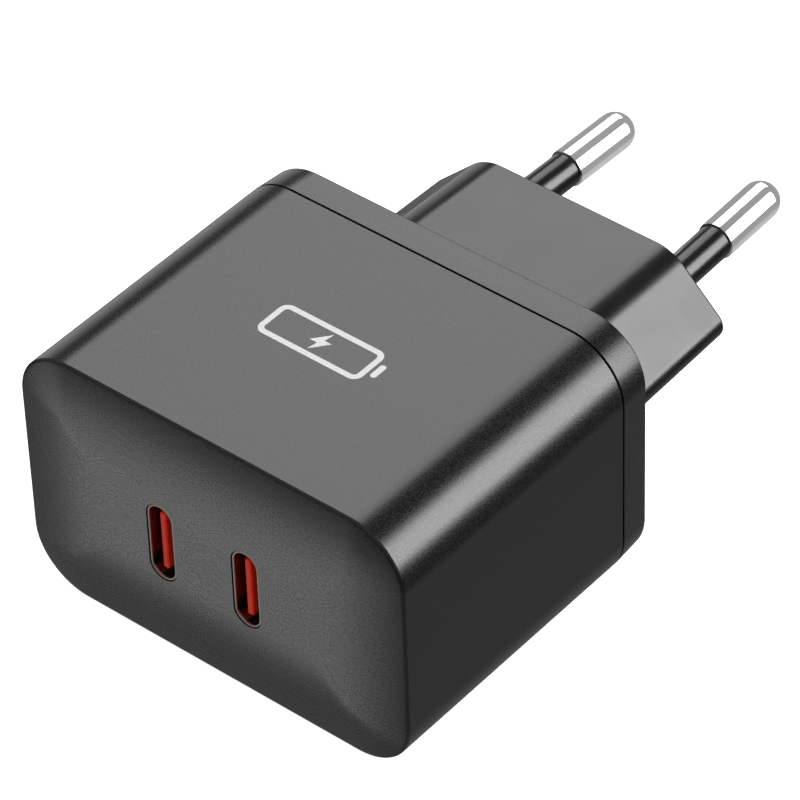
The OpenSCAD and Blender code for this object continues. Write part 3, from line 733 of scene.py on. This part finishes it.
for inwards in crown_rings + crown_grid:
    choose("VERT", lambda v: abs(v.co.y - edge_y) < 0.001 * mm and (
        abs(from_outline(v.co) - inwards) < 0.05 * mm
        or (inwards == crown_run and from_outline(v.co) > crown_run)))
    drop = crown_r - math.sqrt(crown_r ** 2 - (crown_run - inwards) ** 2)
    bpy.ops.transform.translate(value=(0, drop - crown_h, 0))
choose("EDGE", rim_at(edge_y))
round_edges(0.2 * mm, 4)
choose("EDGE", rim_at(seam_y))
round_edges(0.08 * mm, 2)
choose("FACE", faces_towards(1, 1))
bpy.ops.mesh.inset(thickness=wall, use_even_offset=True)
push(edge_y + front_wall - seam_y)
finish_shape(front_shell)


def finish_again(piece):
    """Cleans and shades a piece once more after it was cut or joined."""
    piece.select_set(True)
    bpy.context.view_layer.objects.active = piece
    bpy.ops.object.mode_set(mode="EDIT")
    finish_shape(piece)


hole_gap = 0.04 * mm
for side in (-1, 1):
    x = side * port_pitch / 2
    hole_half_w, hole_half_l = (port_high.x - port_low.x) / 2 + hole_gap, port_high.z + hole_gap
    hole_tool = start_block("hole_tool", (x - hole_half_w, front_y - 1 * mm, -hole_half_l),
                            (x + hole_half_w, edge_y + 3 * mm, hole_half_l))
    choose("EDGE", runs_along(1))
    round_edges(hole_half_w - flat_left, 14)
    bpy.ops.object.mode_set(mode="OBJECT")
    cut_with(front_shell, hole_tool)
finish_again(front_shell)

case_black, shader = new_finish("spark_textured_black", 0.27)
grain = cloudy(case_black, 0.14 * mm, detail=1)
tint(case_black, shader, grain, (0.002, 0.002, 0.002), (0.013, 0.013, 0.0135))
vary_gloss(case_black, shader, grain, 0.22, 0.32)
emboss(case_black, shader, grain, 0.0045 * mm)
front_shell.data.materials.append(case_black)
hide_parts("main_shell")
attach(front_shell, "root")

# ---- printed sign ----
# A plain charging sign, a battery outline with a bolt in it, is printed in pale grey ink on the top.
# The ink fills an imprint only 0.03 mm deep, so the sign lies flush with the plastic.

sign_y, ink_depth = -37 * mm, 0.03 * mm
battery_x, battery_end_x, battery_half, battery_round = -6.4 * mm, 5.6 * mm, 2.3 * mm, 1.0 * mm
outline_w, cap_x, cap_end_x, cap_half, cap_round = 0.6 * mm, 5.95 * mm, 6.6 * mm, 0.95 * mm, 0.28 * mm
bolt_x = -0.4 * mm
bolt_corners = ((0.4, 1.45), (-1.05, -0.3), (-0.2, -0.3), (-0.4, -1.45), (1.05, 0.3), (0.2, 0.3))


def charging_sign(name, low_z, high_z):
    """The sign as three flat solids in one piece: battery outline, end cap and bolt."""
    outline = start_block("outline", (battery_x, sign_y - battery_half, low_z),
                          (battery_end_x, sign_y + battery_half, high_z))
    choose("EDGE", runs_along(2))
    round_edges(battery_round, 8)
    choose("FACE", lambda face: abs(face.normal.z) > 0.99)
    bpy.ops.mesh.inset(thickness=outline_w, use_even_offset=True)
    bpy.ops.mesh.bridge_edge_loops()
    bpy.ops.object.mode_set(mode="OBJECT")
    end_cap = start_block("end_cap", (cap_x, sign_y - cap_half, low_z),
                          (cap_end_x, sign_y + cap_half, high_z))
    choose("EDGE", runs_along(2))
    round_edges(cap_round, 6)
    bpy.ops.object.mode_set(mode="OBJECT")
    bpy.ops.mesh.primitive_circle_add(vertices=6, radius=mm, location=(0, 0, 0), fill_type="NGON")
    bolt = bpy.context.object
    bpy.ops.object.mode_set(mode="EDIT")
    for index, (x, y) in enumerate(bolt_corners):
        choose("VERT", lambda v: v.index == index)
        here = bmesh.from_edit_mesh(bolt.data).verts[:][index].co.copy()
        there = Vector((x * mm + bolt_x, sign_y + y * mm, low_z))
        bpy.ops.transform.translate(value=there - here)
    bpy.ops.mesh.select_mode(type="FACE")
    bpy.ops.mesh.select_all(action="SELECT")
    push(high_z - low_z, 2)
    bpy.ops.object.mode_set(mode="OBJECT")
    for part in (outline, end_cap, bolt):
        part.select_set(True)
    bpy.context.view_layer.objects.active = outline
    bpy.ops.object.join()
    outline.name = name
    bpy.ops.object.mode_set(mode="EDIT")
    finish_shape(outline)
    return outline


imprint = charging_sign("imprint", half_h - ink_depth, half_h + 1 * mm)
cut_with(front_shell, imprint)
finish_again(front_shell)
sign_ink = charging_sign("sign_ink", half_h - ink_depth, half_h - 0.002 * mm)

pale_ink, shader = new_finish("pale_grey_ink", 0.35)
ink_grain = cloudy(pale_ink, 0.16 * mm, detail=2)
tint(pale_ink, shader, ink_grain, (0.60, 0.60, 0.60), (0.76, 0.76, 0.76))
vary_gloss(pale_ink, shader, ink_grain, 0.3, 0.42)
emboss(pale_ink, shader, ink_grain, 0.004 * mm)
sign_ink.data.materials.append(pale_ink)
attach(sign_ink, "root")

# ---- rear cover ----
# A shallow cap in the same black plastic, its sides leaning in towards its flat back. A stepped lip
# goes into the shell, and a fine groove stays open all round where the two are welded.

cover_back_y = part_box("rear_cover")[1].y
cover_lean, groove_w, groove_d, lip_t, lip_len = 0.21 * mm, 0.2 * mm, 0.4 * mm, 1 * mm, 2.5 * mm
lip_inset = wall + 0.05 * mm - groove_d

closing_cover = start_block("closing_cover", (-half_w, seam_y + groove_w, -half_h),
                            (half_w, cover_back_y, half_h))
choose("EDGE", runs_along(1))
round_edges(corner_r, 24)
choose("FACE", faces_towards(1, 1))
bpy.ops.transform.resize(value=(1 - cover_lean / half_w, 1, 1 - cover_lean / half_h),
                         center_override=(0, cover_back_y, 0))
choose("EDGE", rim_at(cover_back_y))
round_edges(0.2 * mm, 3)
choose("EDGE", rim_at(seam_y + groove_w))
round_edges(0.06 * mm, 2)
choose("FACE", faces_towards(1, -1))
bpy.ops.mesh.inset(thickness=groove_d, use_even_offset=True)
push(-groove_w)
bpy.ops.mesh.inset(thickness=lip_inset, use_even_offset=True)
push(-lip_len)
bpy.ops.mesh.inset(thickness=lip_t, use_even_offset=True)
push(lip_len + cover_inner_y - seam_y)
finish_shape(closing_cover)
bore_gap, run_out = 0.05 * mm, 0.5 * mm
bore = hex_block("bore", block_half_w + bore_gap, block_half_h + bore_gap, block_half_flat + 0.02 * mm,
                 block_round, cover_inner_y - run_out, cover_back_y + run_out)
bpy.ops.mesh.select_all(action="SELECT")
bpy.ops.transform.resize(value=(1 + block_draft / block_half_w, 1, 1 + block_draft / block_half_h),
                         center_override=(0, 0, 0))
bpy.ops.object.mode_set(mode="OBJECT")
cut_with(closing_cover, bore)
finish_again(closing_cover)
closing_cover.data.materials.append(case_black)
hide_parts("rear_cover")
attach(closing_cover, "root")

# ---- table, lights and camera ----
# The charger lies on a white table in a dim room: a broad box behind on the left, a strip with a bright
# core behind on the right, and pale cards low in front and on the left. Flags keep the cards to the
# plastics, two small boxes to the ports and a large one to the bare pins.

table_z = cad_low.z
bpy.ops.mesh.primitive_plane_add(size=6, location=(0, 0, table_z))
table_top = bpy.context.object
table_top.name = "table_top"
table_white, shader = new_finish("table_white", 0.9)
tint(table_white, shader, cloudy(table_white, 0.3), (0.90, 0.90, 0.90), (0.92, 0.92, 0.92))
shader.inputs["Specular IOR Level"].default_value = 0.0
shader.inputs["Emission Color"].default_value = (1, 1, 1, 1)
shader.inputs["Emission Strength"].default_value = 0.87
table_top.data.materials.append(table_white)
table_top.visible_glossy = False
table_top.visible_diffuse = False
table_top.visible_shadow = False

aim = Vector((1.1, -26.9, 0)) * mm


def soft_box(name, way, along, length, width, radiance, distance=1.2, only=None):
    """A rectangular light of even brightness, facing the charger from a direction.
    Its length runs along the given direction. It may be flagged off from all but some pieces."""
    lamp = bpy.data.lights.new(name, "AREA")
    lamp.shape, lamp.size, lamp.size_y = "RECTANGLE", width, length
    lamp.energy = radiance * math.pi * width * length
    away = Vector(way).normalized()
    across = Vector(along).cross(away).normalized()
    holder = bpy.data.objects.new(name, lamp)
    holder.matrix_world = Matrix((across, away.cross(across), away)).transposed().to_4x4()
    holder.location = aim + away * distance
    bpy.context.scene.collection.objects.link(holder)
    if only:
        lit = bpy.data.collections.new(name + "_lights")
        for piece in only:
            lit.objects.link(piece)
        holder.light_linking.receiver_collection = lit


pins = (pin_metal_left, pin_metal_right)
ports = (receptacle_left, receptacle_right, tongue_left, tongue_right)
plastics = (front_shell, closing_cover, plug_body, sign_ink, pin_jacket_left, pin_jacket_right)
strip = ((0.75, 0.57, 0.35), (0.40, 0, -0.92))
low_front = ((-0.49, -0.645, -0.587), (0, -0.73, 0.69))
soft_box("broad_box_left", (-0.40, 0.57, 0.70), (0.94, 0, 0.36), 0.72, 1.1, 3.35)
soft_box("strip_box_right", *strip, 1.02, 0.6, 3.4)
soft_box("strip_box_core", *strip, 0.66, 0.55, 6.4, 1.1)
soft_box("low_card_front", *low_front, 0.51, 0.78, 0.98, only=plastics)
soft_box("low_card_core", *low_front, 0.47, 0.42, 0.74, 1.1, only=plastics)
soft_box("port_card", *low_front, 0.5, 0.5, 0.35, 1.3, only=ports)
soft_box("port_fill", (0.72, -0.62, 0.30), (0, 0, 1), 0.6, 0.6, 1.7, only=ports)
soft_box("low_card_left", (-0.81, 0.57, -0.12), (0, 0, 1), 0.75, 0.7, 0.75, only=plastics)
soft_box("pin_fill", (0, 1, 0), (1, 0, 0), 3.6, 3.6, 0.3, 1.0, only=pins)

world = bpy.data.worlds.new("studio")
bpy.context.scene.world = world
world.use_nodes = True
sky, links = world.node_tree.nodes, world.node_tree.links
room_sides, split, room = sky.new("ShaderNodeTexCoord"), sky.new("ShaderNodeSeparateXYZ"), sky["Background"]
links.new(room_sides.outputs["Generated"], split.inputs["Vector"])


def fade(axis, start, end, low, high):
    """Brightness of the room that changes from low to high between two heights of a direction."""
    ramp = sky.new("ShaderNodeMapRange")
    ramp.inputs["From Min"].default_value, ramp.inputs["From Max"].default_value = start, end
    ramp.inputs["To Min"].default_value, ramp.inputs["To Max"].default_value = low, high
    links.new(split.outputs[axis], ramp.inputs["Value"])
    return ramp.outputs["Result"]


behind_camera, total = sky.new("ShaderNodeMath"), sky.new("ShaderNodeMath")
behind_camera.operation, total.operation = "MULTIPLY", "ADD"
links.new(fade("Y", 0.2, 0.45, 0.4, 0), behind_camera.inputs[0])
links.new(fade("Z", -0.25, 0, 0, 1), behind_camera.inputs[1])
links.new(behind_camera.outputs["Value"], total.inputs[0])
links.new(fade("Z", -0.70, -0.50, 0.25, 0.06), total.inputs[1])
links.new(total.outputs["Value"], room.inputs["Strength"])
seen, which, ray = (sky.new("ShaderNode" + kind) for kind in ("Background", "MixShader", "LightPath"))
room.inputs["Color"].default_value = seen.inputs["Color"].default_value = (1, 1, 1, 1)
links.new(ray.outputs["Is Camera Ray"], which.inputs["Fac"])
links.new(room.outputs["Background"], which.inputs[1])
links.new(seen.outputs["Background"], which.inputs[2])
links.new(which.outputs["Shader"], sky["World Output"].inputs["Surface"])

azimuth, elevation, roll = math.radians(40.62), math.radians(41.5), math.radians(-2.025)
distance = 480.45 * mm
back = Vector((math.sin(azimuth) * math.cos(elevation), -math.cos(azimuth) * math.cos(elevation),
               math.sin(elevation)))
view = bpy.data.cameras.new("view")
view.lens, view.sensor_width = 234.44, 36
view.shift_x, view.shift_y = -0.01175, 0.01034
view.clip_start, view.clip_end = 0.01, 20
camera = bpy.data.objects.new("camera", view)
camera.location = aim + back * distance
camera.rotation_mode = "QUATERNION"
camera.rotation_quaternion = (-back).to_track_quat("-Z", "Y") @ Quaternion((0, 0, 1), roll)
bpy.context.scene.collection.objects.link(camera)
bpy.context.scene.camera = camera
bpy.context.scene.view_settings.view_transform = "Standard"
